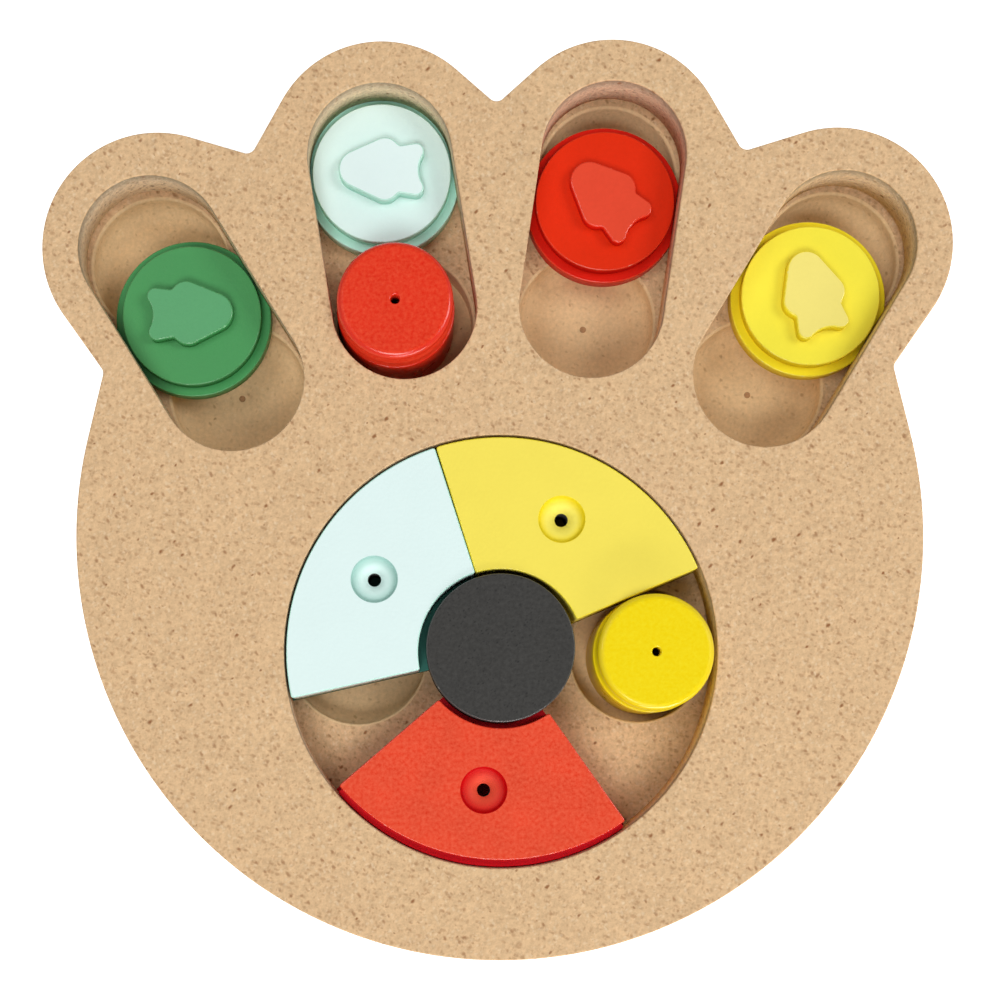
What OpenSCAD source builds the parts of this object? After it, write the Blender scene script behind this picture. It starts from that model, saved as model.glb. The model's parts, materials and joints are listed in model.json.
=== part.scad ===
// Paw-shaped puzzle feeder for cats. Treats lie in round wells, and sliders, ring sectors and
// loose plugs cover them. Millimetres, +Z up, toes towards +Y, origin under the middle of the board.

/* [Board] */
// Overall width across the outer toes
board_w = 300; // [288:1:340]
// Overall length from the toe tips to the heel
board_l = 303; // [294:1:340]
// Thickness of the slotted top board
top_board_t = 18; // [16:0.5:24]
// Thickness of the base board
base_board_t = 12; // [11:0.5:18]

/* [Paw outline] */
// Radius of the round pad
pad_r = 139.5; // [132:0.5:143]
// Radius of the two inner toes
inner_toe_r = 37.5; // [35:0.5:39]
// Distance of an inner toe's centre from the middle line
inner_toe_x = 38; // [36:0.5:40]
// Radius of the two outer toes
outer_toe_r = 38; // [36:0.5:41]
// How far the outer toes' centres lie below the inner ones
outer_toe_drop = 30; // [26:0.5:34]
// How far a notch between two toes lies outside the line through their centres
toe_notch_rise = 16.5; // [14:0.5:22]
// How far a heel notch lies outside the crossing of toe and pad
heel_notch_out = 6.7; // [4:0.1:9]
// Radius at the bottom of each notch
notch_r = 3; // [1.5:0.5:5]

/* [Slots] */
// Width of a slot
slot_w = 47.8; // [44:0.2:50]
// Free length of a slot when a slider and a plug stand in it
slot_play = 4.7; // [3.5:0.1:7]
// Slant of the outer slots from the middle line, in degrees
outer_slot_tilt = 31.4; // [27:0.2:35]
// Slant of the inner slots from the middle line, in degrees
inner_slot_tilt = 8.8; // [6:0.2:11]
// How far an outer slot's end lies outside its toe's centre
outer_slot_out = 2.3; // [0:0.1:3]
// How far an inner slot's end lies outside its toe's centre
inner_slot_out = 0.6; // [0:0.1:2]
// Height of the undercut below the rims of the slots and the recess
groove_h = 5; // [4:0.2:7]
// How far the undercut reaches past the rims
groove_out = 2.9; // [2:0.1:4]
// Least wall between a slot's undercut and the board's outline
slot_wall = 6; // [4:0.5:8]

/* [Wells] */
// Diameter of a treat well
well_d = 46; // [45:0.5:48]
// Depth of a treat well
well_depth = 9; // [6:0.5:9.5]
// Width of the bevel on a well's rim
well_bevel = 0.8; // [0.3:0.1:1.2]
// Diameter of the drill dimple in a well's floor
dimple_d = 3.4; // [2:0.2:5]
// Depth of the drill dimple
dimple_depth = 1; // [0.4:0.1:1.2]
// Number of wells round the ring
ring_wells = 4; // [3:1:4]

/* [Ring recess] */
// Radius of the round recess
recess_r = 71.4; // [69:0.2:76]
// How far the recess lies below the pad's centre
recess_drop = 37.8; // [34:0.2:44]

/* [Hub] */
// Radius of the hub's cap
hub_r = 24.5; // [23.5:0.1:25.5]
// How far the hub sits off the ring's centre, towards the toes
hub_offset = 1.2; // [0:0.1:1.5]
// How far the hub stands above the board
hub_rise = 1; // [0:0.1:4]
// How far the hub's cap reaches over its spacer
hub_overhang = 4.5; // [3.8:0.1:6]
// Rounding of the hub cap's top edge
hub_edge_r = 0.8; // [0.3:0.1:1.5]
// Diameter of the hub screw's shank
screw_d = 4; // [3:0.5:5]
// Diameter of the hub screw's head
screw_head_d = 8.4; // [7:0.2:10]
// How far the screw's head is sunk below the underside
screw_sink = 0.6; // [0.2:0.1:1.5]
// Length of screw inside the hub's cap
screw_grip = 9; // [6:0.5:11]

/* [Sectors] */
// Angle that one ring sector takes, in degrees
sector_angle = 84.6; // [80:0.2:84.6]
// Gap between a sector's top and the recess's rim
sector_outer_gap = 1.2; // [0.5:0.1:1.6]
// Gap between a sector's top and the hub's cap
sector_inner_gap = 2.7; // [2.3:0.1:4]
// How far a sector's runner reaches under the hub's cap
runner_under_hub = 1.5; // [0.8:0.1:2]
// Thickness of the sectors' runners
runner_t = 4.4; // [3:0.2:4.6]
// Diameter of a sector's finger dish
dish_d = 15; // [12:0.5:20]
// Depth of a sector's finger dish
dish_depth = 2.4; // [1.5:0.1:3.5]
// Diameter of the hole in the finger dish
dish_hole_d = 4; // [3:0.2:6]
// How far the red sector sits in towards the hub
red_sector_shift = 2; // [0:0.1:2]

/* [Sliders] */
// Thickness of a slider's shoe
shoe_t = 4.4; // [3:0.2:4.6]
// Thickness of a slider's cap
cap_t = 3.6; // [2.5:0.1:6]
// Rounding of the cap's top edge
cap_edge_r = 0.8; // [0.3:0.1:1.2]
// Thickness of a fish knob
fish_t = 3.5; // [2.5:0.1:5]
// Length of a fish knob
fish_l = 28.5; // [26:0.5:34]
// Width of a fish knob
fish_w = 21.2; // [18:0.2:24]

/* [Plugs] */
// Diameter of a plug's foot
plug_foot_d = 39.2; // [36:0.2:39.4]
// How much narrower the plug is above its foot
plug_step = 0.5; // [0.3:0.1:1.5]
// Height of a plug
plug_h = 31.7; // [28:0.1:36]
// Height of the plug's wider foot
plug_foot_h = 21.5; // [15:0.5:24]
// Wall of the hollow plug
plug_wall = 5; // [3:0.5:7]
// Thickness of the plug's top
plug_top_t = 6; // [4:0.5:9]
// Rounding of the plug's top edge
plug_edge_r = 2.2; // [1:0.1:3.5]
// Diameter of the vent hole in a plug
plug_vent_d = 3; // [2:0.2:5]

/* [Fits] */
// Side clearance of everything that slides in the undercut and the slots
slide_gap = 0.6; // [0.4:0.1:1]
// Clearance of a sliding or standing piece above its floor
floor_gap = 0.2; // [0.1:0.05:0.3]
// Radial clearance of the screw in the boards
screw_gap = 0.2; // [0.1:0.05:0.4]

/* [Where the loose pieces stand] */
// Distance of the green slider from its slot's toe end
green_seat = 22.7; // [0:0.1:46]
// Distance of the mint slider from its slot's toe end
mint_seat = 2; // [0:0.1:2]
// Distance of the red slider from its slot's toe end
red_seat = 12.1; // [0:0.1:46]
// Distance of the yellow slider from its slot's toe end
yellow_seat = 16.7; // [0:0.1:46]
// Direction of the green fish, in degrees from +X
green_fish_angle = 2; // [-180:1:360]
// Direction of the mint fish, in degrees from +X
mint_fish_angle = 179; // [-180:1:360]
// Direction of the red fish, in degrees from +X
red_fish_angle = 135; // [-180:1:360]
// Direction of the yellow fish, in degrees from +X
yellow_fish_angle = 107; // [-180:1:360]
// Direction of the yellow sector's middle, in degrees from +X
yellow_sector_angle = 64.8; // [64.8:0.1:65.2]
// Direction of the mint sector's middle, in degrees from +X
mint_sector_angle = 149.8; // [149.8:0.1:160]
// Direction of the red sector's middle, in degrees from +X
red_sector_angle = 262.6; // [255:0.1:285]
// How far the red plug stands to the side of its well's centre
red_plug_aside = 2.8; // [0:0.1:2.8]
// How far the red plug stands towards the toes from its well's centre
red_plug_back = 1.2; // [0:0.1:1.3]
// How far the yellow plug stands outwards from its well's centre
yellow_plug_out = 2.6; // [2.4:0.1:2.9]
// How far the yellow plug stands towards the heel from its well's centre
yellow_plug_down = 0.7; // [0.6:0.1:1.4]

/* [Hidden] */
$fn = 96;

// Extra length that lets a cut pass cleanly through a face
cut = 1;
// How far a straight side starts inside the arc that it runs on from, so that the two cross cleanly
join = 0.02;
board_top = base_board_t + top_board_t;
lip_z = base_board_t + groove_h;

pad_c = [0, pad_r - board_l / 2];
inner_toe_y = board_l / 2 - inner_toe_r;
outer_toe_c = [board_w / 2 - outer_toe_r, inner_toe_y - outer_toe_drop];
recess_c = [0, pad_c[1] - recess_drop];
hub_c = recess_c + [0, hub_offset];

groove_r = slot_w / 2 + groove_out;
shoe_r = groove_r - slide_gap;
cap_r = slot_w / 2 - slide_gap;
slot_travel = shoe_r + plug_foot_d / 2 + slot_play;
shoe_top = base_board_t + floor_gap + shoe_t;
cap_top = shoe_top + cap_t;

ring_r = (hub_r + recess_r) / 2;
hub_neck_r = hub_r - hub_overhang;
hub_cap_t = board_top + hub_rise - lip_z;
runner_z = base_board_t + floor_gap;
well_z = base_board_t - well_depth;
plug_z = well_z + floor_gap;

// Radii of the fish's nose, shoulders, tail root, tail lobes and the web between them, as shares of its width
nose_share = 0.3;
shoulder_share = 0.245;
root_share = 0.285;
lobe_share = 0.13;
web_share = 0.1;
// Half spread of the tail lobes and of the web, as shares of the fish's width
lobe_spread = 0.285;
web_spread = 0.16;
// How far the shoulders, tail root and web's edge lie behind the middle, as shares of the fish's length
shoulder_back = 0.04;
root_back = 0.1;
web_back = 0.437;

green_paint = [0.31, 0.61, 0.37];
mint_paint = [0.86, 0.97, 0.94];
red_paint = [0.92, 0.24, 0.11];
yellow_paint = [0.98, 0.90, 0.24];
charcoal_paint = [0.27, 0.27, 0.27];
mdf_tan = [0.84, 0.70, 0.54];
mdf_brown = [0.72, 0.57, 0.42];

function unit(v) = v / norm(v);
function quarter_turn(v) = [-v[1], v[0]];
function mirrored(p) = [-p[0], p[1]];
function polar(r, a) = r * [cos(a), sin(a)];
function heading(v) = atan2(v[1], v[0]);

// Point where the line from p touches a circle, on the side given as 1 or -1
function touch(c, r, p, side) = c + polar(r - join, heading(p - c) + side * acos((r - join) / norm(p - c)));

// Notch outside the gap between two toes that follow each other counterclockwise
function toe_notch(c1, r1, c2, r2) =
    let (line = unit(c2 - c1), middle = (norm(c2 - c1) + r1 - r2) / 2)
    c1 + line * middle - quarter_turn(line) * toe_notch_rise;

// Notch outside the crossing of the pad with the outer toe on the right
function heel_notch(c1, r1, c2, r2) =
    let (d = norm(c2 - c1), line = (c2 - c1) / d, along = (d * d + r1 * r1 - r2 * r2) / (2 * d))
    c1 + line * along - quarter_turn(line) * (sqrt(r1 * r1 - along * along) + heel_notch_out);

// Round lobes of the outline, counterclockwise from the right outer toe, as [centre, radius]
lobes = [[outer_toe_c, outer_toe_r],
         [[inner_toe_x, inner_toe_y], inner_toe_r],
         [[-inner_toe_x, inner_toe_y], inner_toe_r],
         [mirrored(outer_toe_c), outer_toe_r],
         [pad_c, pad_r]];
right_heel_notch = heel_notch(pad_c, pad_r, outer_toe_c, outer_toe_r);
right_toe_notch = toe_notch(lobes[0][0], lobes[0][1], lobes[1][0], lobes[1][1]);
middle_notch = toe_notch(lobes[1][0], lobes[1][1], lobes[2][0], lobes[2][1]);
// Notch i lies before lobe i
notches = [right_heel_notch, right_toe_notch, middle_notch, mirrored(right_toe_notch),
           mirrored(right_heel_notch)];

// Slots from left to right: 0 green, 1 mint, 2 red, 3 yellow
slots = [0:3];
function slot_side(i) = i < 2 ? -1 : 1;
function slot_outer(i) = i == 0 || i == 3;
function slot_tilt(i) = slot_outer(i) ? outer_slot_tilt : inner_slot_tilt;
function slot_start(i) = slot_outer(i)
    ? [slot_side(i) * (outer_toe_c[0] + outer_slot_out), outer_toe_c[1]]
    : [slot_side(i) * (inner_toe_x + inner_slot_out), inner_toe_y];
function slot_heading(i) = [-slot_side(i) * sin(slot_tilt(i)), -cos(slot_tilt(i))];
function slot_point(i, along) = slot_start(i) + along * slot_heading(i);

// Straight-sided piece between two circles, with sides that touch both
module bridge(c1, r1, c2, r2) {
    a = acos((r1 - r2) / norm(c2 - c1));
    h = heading(c2 - c1);
    polygon([c1 + polar(r1 - join, h - a), c2 + polar(r2 - join, h - a),
             c2 + polar(r2 - join, h + a), c1 + polar(r1 - join, h + a)]);
}

// Start and end of lobe i, where straight sides from the notches before and after it touch it
function lobe_start(i) = touch(lobes[i][0], lobes[i][1], notches[i], 1);
function lobe_end(i) = touch(lobes[i][0], lobes[i][1], notches[(i + 1) % len(notches)], -1);

// Round bottom of notch i: its two ends on the straight sides, and its centre
function notch_sides(i) = [unit(lobe_end((i + len(lobes) - 1) % len(lobes)) - notches[i]),
                           unit(lobe_start(i) - notches[i])];
function notch_half(i) = acos(notch_sides(i)[0] * notch_sides(i)[1]) / 2;
function notch_end(i, k) = notches[i] + notch_sides(i)[k] * notch_r / tan(notch_half(i));
function notch_centre(i) =
    notches[i] + unit(notch_sides(i)[0] + notch_sides(i)[1]) * notch_r / sin(notch_half(i));

module slot_outline(i, r) {
    toe_end = slot_point(i, 0);
    heel_end = slot_point(i, slot_travel);
    translate(toe_end) circle(r);
    translate(heel_end) circle(r);
    bridge(toe_end, r, heel_end, r);
}

module paw_outline() {
    all = [0:len(lobes) - 1];
    difference() {
        union() {
            polygon([for (i = all) each [notch_end(i, 0), notch_end(i, 1), lobe_start(i), lobe_end(i)]]);
            for (i = all) translate(lobes[i][0]) circle(lobes[i][1]);
        }
        for (i = all) translate(notch_centre(i)) circle(notch_r + join);
    }
    for (i = slots) slot_outline(i, groove_r + slot_wall);
}

module well_cut() {
    translate([0, 0, well_z]) cylinder(h = well_depth + cut, d = well_d);
    translate([0, 0, base_board_t - well_bevel])
        cylinder(h = well_bevel + cut, r1 = well_d / 2, r2 = well_d / 2 + well_bevel + cut);
    translate([0, 0, well_z - dimple_depth])
        cylinder(h = dimple_depth + cut, d1 = 0, d2 = dimple_d * (1 + cut / dimple_depth));
}

module screw_shape(gap) {
    head_h = (screw_head_d - screw_d) / 2;
    translate([0, 0, screw_sink]) cylinder(h = head_h, d1 = screw_head_d, d2 = screw_d);
    translate([0, 0, screw_sink]) cylinder(h = lip_z - screw_sink, r = screw_d / 2 + gap);
}

module top_board() {
    color(mdf_tan) difference() {
        translate([0, 0, base_board_t]) linear_extrude(top_board_t) paw_outline();
        for (i = slots) {
            translate([0, 0, base_board_t]) linear_extrude(top_board_t + cut) slot_outline(i, slot_w / 2);
            translate([0, 0, base_board_t - cut]) linear_extrude(groove_h + cut) slot_outline(i, groove_r);
        }
        translate([recess_c[0], recess_c[1], base_board_t]) cylinder(h = top_board_t + cut, r = recess_r);
        translate([recess_c[0], recess_c[1], base_board_t - cut])
            cylinder(h = groove_h + cut, r = recess_r + groove_out);
    }
}

module base_board() {
    color(mdf_brown) difference() {
        linear_extrude(base_board_t) paw_outline();
        for (i = slots)
            for (along = [0, slot_travel])
                translate(slot_point(i, along)) well_cut();
        for (k = [0:ring_wells - 1])
            translate(recess_c + polar(ring_r, k * 360 / ring_wells)) well_cut();
        translate(hub_c) screw_shape(screw_gap);
        translate([hub_c[0], hub_c[1], -cut]) cylinder(h = screw_sink + cut, d = screw_head_d);
    }
}

// Disc with a rounded top edge, standing on z = 0
module rounded_disc(r, h, edge) {
    rotate_extrude() {
        square([r - edge, h]);
        square([r, h - edge]);
        translate([r - edge, h - edge]) intersection() {
            circle(edge);
            square(edge);
        }
    }
}

module hub_cap() {
    color(charcoal_paint) difference() {
        translate([hub_c[0], hub_c[1], lip_z]) rounded_disc(hub_r, hub_cap_t, hub_edge_r);
        translate([hub_c[0], hub_c[1], lip_z - cut]) cylinder(h = screw_grip + cut, d = screw_d);
    }
}

module hub_spacer() {
    color(charcoal_paint) difference() {
        translate([hub_c[0], hub_c[1], base_board_t]) cylinder(h = groove_h, r = hub_neck_r);
        translate([hub_c[0], hub_c[1], base_board_t - cut])
            cylinder(h = groove_h + 2 * cut, d = screw_d + 2 * screw_gap);
    }
}

module hub_screw() {
    color("silver") {
        translate(hub_c) screw_shape(0);
        translate([hub_c[0], hub_c[1], lip_z]) cylinder(h = screw_grip, d = screw_d);
    }
}

// Slider pieces, for slot i at a distance from its toe end
module slider_shoe(i, seat) {
    p = slot_point(i, seat);
    translate([p[0], p[1], base_board_t + floor_gap]) cylinder(h = shoe_t, r = shoe_r);
}

module slider_cap(i, seat) {
    p = slot_point(i, seat);
    translate([p[0], p[1], shoe_top]) rounded_disc(cap_r, cap_t, cap_edge_r);
}

// Fish with its nose towards +X: round nose, two full shoulders and a two-lobed tail
module fish_outline() {
    nose_r = fish_w * nose_share;
    shoulder_r = fish_w * shoulder_share;
    root_r = fish_w * root_share;
    lobe_r = fish_w * lobe_share;
    web_r = fish_w * web_share;
    nose = [fish_l / 2 - nose_r, 0];
    tail_root = [-fish_l * root_back, 0];
    function shoulder(s) = [-fish_l * shoulder_back, s * (fish_w / 2 - shoulder_r)];
    function lobe(s) = [lobe_r - fish_l / 2, s * fish_w * lobe_spread];
    function web(s) = [web_r - fish_l * web_back, s * fish_w * web_spread];
    translate(nose) circle(nose_r);
    for (s = [1, -1]) {
        translate(shoulder(s)) circle(shoulder_r);
        translate(lobe(s)) circle(lobe_r);
        bridge(nose, nose_r, shoulder(s), shoulder_r);
        bridge(tail_root, root_r, lobe(s), lobe_r);
    }
    bridge(web(1), web_r, web(-1), web_r);
    polygon([nose, shoulder(1), web(1), web(-1), shoulder(-1)]);
}

module slider_fish(i, seat, turn) {
    p = slot_point(i, seat);
    translate([p[0], p[1], cap_top]) rotate(turn) linear_extrude(fish_t) fish_outline();
}

module green_shoe() { color(green_paint) slider_shoe(0, green_seat); }
module green_cap() { color(green_paint) slider_cap(0, green_seat); }
module green_fish() { color(green_paint) slider_fish(0, green_seat, green_fish_angle); }
module mint_shoe() { color(mint_paint) slider_shoe(1, mint_seat); }
module mint_cap() { color(mint_paint) slider_cap(1, mint_seat); }
module mint_fish() { color(mint_paint) slider_fish(1, mint_seat, mint_fish_angle); }
module red_shoe() { color(red_paint) slider_shoe(2, red_seat); }
module red_cap() { color(red_paint) slider_cap(2, red_seat); }
module red_fish() { color(red_paint) slider_fish(2, red_seat, red_fish_angle); }
module yellow_shoe() { color(yellow_paint) slider_shoe(3, yellow_seat); }
module yellow_cap() { color(yellow_paint) slider_cap(3, yellow_seat); }
module yellow_fish() { color(yellow_paint) slider_fish(3, yellow_seat, yellow_fish_angle); }

// Slice of a ring with its middle towards +X
module ring_slice(inner_r, outer_r) {
    far = outer_r / cos(sector_angle / 2) + cut;
    intersection() {
        difference() {
            circle(outer_r);
            circle(inner_r);
        }
        polygon([[0, 0], polar(far, -sector_angle / 2), polar(far, sector_angle / 2)]);
    }
}

// Moves a sector to its place in the ring
module at_ring(turn, shift) {
    translate(recess_c) rotate(turn) translate([-shift, 0]) children();
}

module sector_runner(turn, shift = 0) {
    at_ring(turn, shift) translate([0, 0, runner_z]) linear_extrude(runner_t)
        ring_slice(hub_r - runner_under_hub, recess_r + groove_out - slide_gap);
}

module sector_top(turn, shift = 0) {
    z = runner_z + runner_t;
    dish_r = (dish_d * dish_d / 4 + dish_depth * dish_depth) / (2 * dish_depth);
    at_ring(turn, shift) difference() {
        translate([0, 0, z]) linear_extrude(board_top - z)
            ring_slice(hub_r + sector_inner_gap, recess_r - sector_outer_gap);
        translate([ring_r, 0, board_top - dish_depth + dish_r]) sphere(dish_r);
        translate([ring_r, 0, z - cut]) cylinder(h = board_top, d = dish_hole_d);
    }
}

module mint_sector_runner() { color(mint_paint) sector_runner(mint_sector_angle); }
module mint_sector_top() { color(mint_paint) sector_top(mint_sector_angle); }
module yellow_sector_runner() { color(yellow_paint) sector_runner(yellow_sector_angle); }
module yellow_sector_top() { color(yellow_paint) sector_top(yellow_sector_angle); }
module red_sector_runner() { color(red_paint) sector_runner(red_sector_angle, red_sector_shift); }
module red_sector_top() { color(red_paint) sector_top(red_sector_angle, red_sector_shift); }

// Upturned cup with a wider foot, a rounded top edge and a vent hole
module plug() {
    foot_r = plug_foot_d / 2;
    difference() {
        union() {
            rounded_disc(foot_r - plug_step, plug_h, plug_edge_r);
            rounded_disc(foot_r, plug_foot_h, plug_step);
        }
        translate([0, 0, -cut]) cylinder(h = plug_h - plug_top_t + cut, r = foot_r - plug_wall);
        cylinder(h = plug_h + cut, d = plug_vent_d);
    }
}

module red_plug() {
    aside = quarter_turn(slot_heading(1)) * -red_plug_aside;
    p = slot_point(1, slot_travel - red_plug_back) + aside;
    color(red_paint) translate([p[0], p[1], plug_z]) plug();
}

module yellow_plug() {
    p = recess_c + [ring_r + yellow_plug_out, -yellow_plug_down];
    color(yellow_paint) translate([p[0], p[1], plug_z]) plug();
}

top_board();
base_board();
hub_cap();
hub_spacer();
hub_screw();
green_shoe();
green_cap();
green_fish();
mint_shoe();
mint_cap();
mint_fish();
red_shoe();
red_cap();
red_fish();
yellow_shoe();
yellow_cap();
yellow_fish();
mint_sector_runner();
mint_sector_top();
yellow_sector_runner();
yellow_sector_top();
red_sector_runner();
red_sector_top();
red_plug();
yellow_plug();
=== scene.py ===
# %% [markdown]
# # A paw-shaped treat puzzle for a cat
# Two fibreboard sheets are glued together in the outline of a paw. The upper one has four slanted
# slots and a round recess, and the lower one is their floor, with round wells for treats. Painted
# sliders with fish knobs, ring sectors and two loose plugs cover the wells, and the cat pushes or
# lifts them away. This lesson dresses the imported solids: each cell makes one kind of piece or finish.

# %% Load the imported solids
import json
import math

import bmesh
import bpy
from mathutils import Matrix, Vector


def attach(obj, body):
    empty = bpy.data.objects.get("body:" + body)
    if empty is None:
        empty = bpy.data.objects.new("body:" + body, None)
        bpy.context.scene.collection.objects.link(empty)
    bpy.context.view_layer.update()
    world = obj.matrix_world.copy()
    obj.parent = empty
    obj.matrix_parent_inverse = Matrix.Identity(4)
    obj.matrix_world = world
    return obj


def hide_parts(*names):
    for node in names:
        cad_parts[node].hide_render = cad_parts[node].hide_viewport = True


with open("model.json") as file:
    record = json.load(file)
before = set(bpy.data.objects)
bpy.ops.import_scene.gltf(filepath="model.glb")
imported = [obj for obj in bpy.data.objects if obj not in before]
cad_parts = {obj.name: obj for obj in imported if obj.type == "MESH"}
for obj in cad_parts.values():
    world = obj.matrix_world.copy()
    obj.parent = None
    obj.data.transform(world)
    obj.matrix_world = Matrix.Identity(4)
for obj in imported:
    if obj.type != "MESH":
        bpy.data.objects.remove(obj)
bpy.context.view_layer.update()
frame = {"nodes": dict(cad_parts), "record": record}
record = frame["record"]
body_of = {node: body for body, nodes in record["behaviour"]["bodies"].items() for node in nodes}

# %% [markdown]
# ## The puzzle's own sizes
# The pieces are drawn in millimetres, as a workshop drawing is, and are scaled to metres at the very
# end. The sizes repeat the drawing of the solids, so each dressed piece lies exactly where its solid
# does. A slot is known by its toe end and its slant, and a slider by how far it stands from that end
# and the way its fish points. A sector is known by the way it faces and how far it is set towards the
# hub. Sizes that only one kind of piece needs stand in that piece's own cell.

# %% Sizes in millimetres
MM = 0.001
BASE_TOP = 12.0
BOARD_TOP = 30.0
SLOT_R = 23.9
SLOT_TRAVEL = 50.5
RECESS = (0.0, -49.8)
RECESS_R = 71.4
HUB = (0.0, -48.6)
HUB_R = 24.5
RING_R = (HUB_R + RECESS_R) / 2
SLOTS = {
    "green": {"toe": (-114.3, 84.0), "slant": 31.4, "seat": 22.7, "fish": 2},
    "mint": {"toe": (-38.6, 114.0), "slant": 8.8, "seat": 2.0, "fish": 179},
    "red": {"toe": (38.6, 114.0), "slant": -8.8, "seat": 12.1, "fish": 135},
    "yellow": {"toe": (114.3, 84.0), "slant": -31.4, "seat": 16.7, "fish": 107},
}
SECTORS = {"mint": (149.8, 0.0), "yellow": (64.8, 0.0), "red": (262.6, 2.0)}


def slot_point(colour, along):
    """Point on a slot's middle line, at a distance from its toe end"""
    x, y = SLOTS[colour]["toe"]
    slant = math.radians(SLOTS[colour]["slant"])
    return x + along * math.sin(slant), y - along * math.cos(slant)


def ring_point(angle, reach):
    """Point at a direction and a distance from the middle of the recess"""
    return RECESS[0] + reach * math.cos(angle), RECESS[1] + reach * math.sin(angle)


print("slot ends:", {c: [round(v, 1) for v in slot_point(c, SLOT_TRAVEL)] for c in SLOTS})

# %% [markdown]
# ## Outlines made of rounds
# The paw, the slots and the fish are chains of rounds joined by straight sides that touch them. A
# round that bulges outwards has a positive radius, and one that bites in, such as the notch between
# two toes, a negative one. From two neighbours follows the direction in which their common straight
# side faces, and so where each arc starts and stops. Drawing curves by hand and converting them would
# work too, but then a parallel outline for a rounded rim would be hard to get: here it is the same
# chain with a little more or less radius.

# %% Arcs from a chain of rounds
TURN = 2 * math.pi
QUARTER = math.pi / 2


def facing(a, b):
    """Direction in which the straight side from round a to round b faces"""
    dx, dy = b[0] - a[0], b[1] - a[1]
    slope = (a[2] - b[2]) / math.hypot(dx, dy)
    return math.atan2(dy, dx) - math.acos(max(-1.0, min(1.0, slope)))


def chain(rounds):
    """Arcs (x, y, signed radius, start, sweep) of a closed outline, counterclockwise"""
    arcs = []
    for i, (x, y, r) in enumerate(rounds):
        start = facing(rounds[i - 1], rounds[i])
        stop = facing(rounds[i], rounds[(i + 1) % len(rounds)])
        if r > 0:
            arcs.append((x, y, r, start, (stop - start) % TURN))
        else:
            arcs.append((x, y, r, start + math.pi, -((start - stop) % TURN)))
    return arcs


def circle(x, y, r):
    """A full round as a chain of one arc"""
    return [(x, y, r, 0.0, TURN)]


print("arcs in a recess:", len(circle(*RECESS, RECESS_R)))

# %% [markdown]
# ## The paw and its slots
# The paw is one big pad, four toes and the notches between them. Its left side mirrors its right, so
# only the right side is written down. A slot is the shortest chain there is: two rounds of one size.

# %% Paw and slot outlines
NOTCH_R = 3.02
HEEL_NOTCH = (133.272, 42.855, -NOTCH_R)
OUTER_TOE = (112.0, 84.0, 38.0)
TOE_NOTCH = (82.39, 117.939, -NOTCH_R)
INNER_TOE = (38.0, 114.0, 37.5)
MIDDLE_NOTCH = (0.0, 134.494, -NOTCH_R)
PAD = (0.0, -12.0, 139.5)


def mirrored(rounds):
    """The same rounds on the other side of the middle line, in reverse order"""
    return [(-x, y, r) for x, y, r in reversed(rounds)]


right_side = [HEEL_NOTCH, OUTER_TOE, TOE_NOTCH, INNER_TOE]
paw = chain(right_side + [MIDDLE_NOTCH] + mirrored(right_side) + [PAD])
slot_arcs = {}
for colour in SLOTS:
    slot_arcs[colour] = chain([(*slot_point(colour, along), SLOT_R) for along in (0, SLOT_TRAVEL)])
print("arcs in the paw:", len(paw))

# %% [markdown]
# ## Loops
# A wall is a stack of parallel loops. Each loop is drawn with spin, which walks a vertex round a
# centre. Its steps follow from how far a straight piece may stray from the true arc, so a big round
# gets more of them than a small one.

# %% Draw a loop
ARC_SAG = 0.01
LEAST_STEPS = 2


def draw_loop(bm, arcs, grow, z):
    """Draws a closed outline at a height, moved outwards by grow, and returns its edges"""
    before = set(bm.edges)
    ends = []
    for x, y, r, start, sweep in arcs:
        reach = abs(r + grow)
        first = bm.verts.new((x + reach * math.cos(start), y + reach * math.sin(start), z))
        step = 2 * math.acos(1 - ARC_SAG / abs(r))
        steps = max(LEAST_STEPS, math.ceil(abs(sweep) / step))
        made = bmesh.ops.spin(bm, geom=[first], cent=(x, y, z), axis=(0, 0, 1), angle=sweep, steps=steps)
        ends.append((first, next(g for g in made["geom_last"] if isinstance(g, bmesh.types.BMVert))))
    welds = {}
    for (_, last), (first, _) in zip(ends, ends[1:] + ends[:1]):
        if (last.co - first.co).length < ARC_SAG:
            welds[last] = first
        else:
            bm.edges.new((last, first))
    bmesh.ops.weld_verts(bm, targetmap=welds)
    return [e for e in bm.edges if e not in before]


trial = bmesh.new()
print("edges in the paw's loop:", len(draw_loop(trial, paw, 0, 0)))
trial.free()

# %% [markdown]
# ## Walls and lids
# A routed board is walls and flat faces. For a wall, neighbouring loops are bridged. The rims are
# eased with a few extra loops, because no real edge is perfectly sharp, and the eased edge is what
# catches the light. A lid is then filled in between the outer loop and the holes.

# %% Eased rims, walls and lids
EASE_STEPS = 4


def quarter_turn(steps):
    """Angles of a quarter round, in even steps"""
    return [QUARTER * i / steps for i in range(steps + 1)]


def eased(radius, z, side):
    """Profile of an eased top rim: side 1 on an outer edge, -1 on the edge of a hole"""
    return [(side * radius * (math.sin(a) - 1), z - radius + radius * math.cos(a))
            for a in quarter_turn(EASE_STEPS)]


def join(bm, part):
    """Adds a finished part to a piece"""
    holder = bpy.data.meshes.new("part")
    part.to_mesh(holder)
    part.free()
    bm.from_mesh(holder)
    bpy.data.meshes.remove(holder)


def wall(bm, arcs, profile, finish=0, rim=0):
    """Bridges the loops of a profile of (grow, z); an eased rim at its start has its own finish"""
    part = bmesh.new()
    loops = [draw_loop(part, arcs, grow, z) for grow, z in profile]
    for i, (upper, lower) in enumerate(zip(loops, loops[1:])):
        for face in bmesh.ops.bridge_loops(part, edges=upper + lower)["faces"]:
            face.material_index = rim if i < EASE_STEPS else finish
    join(bm, part)


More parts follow.
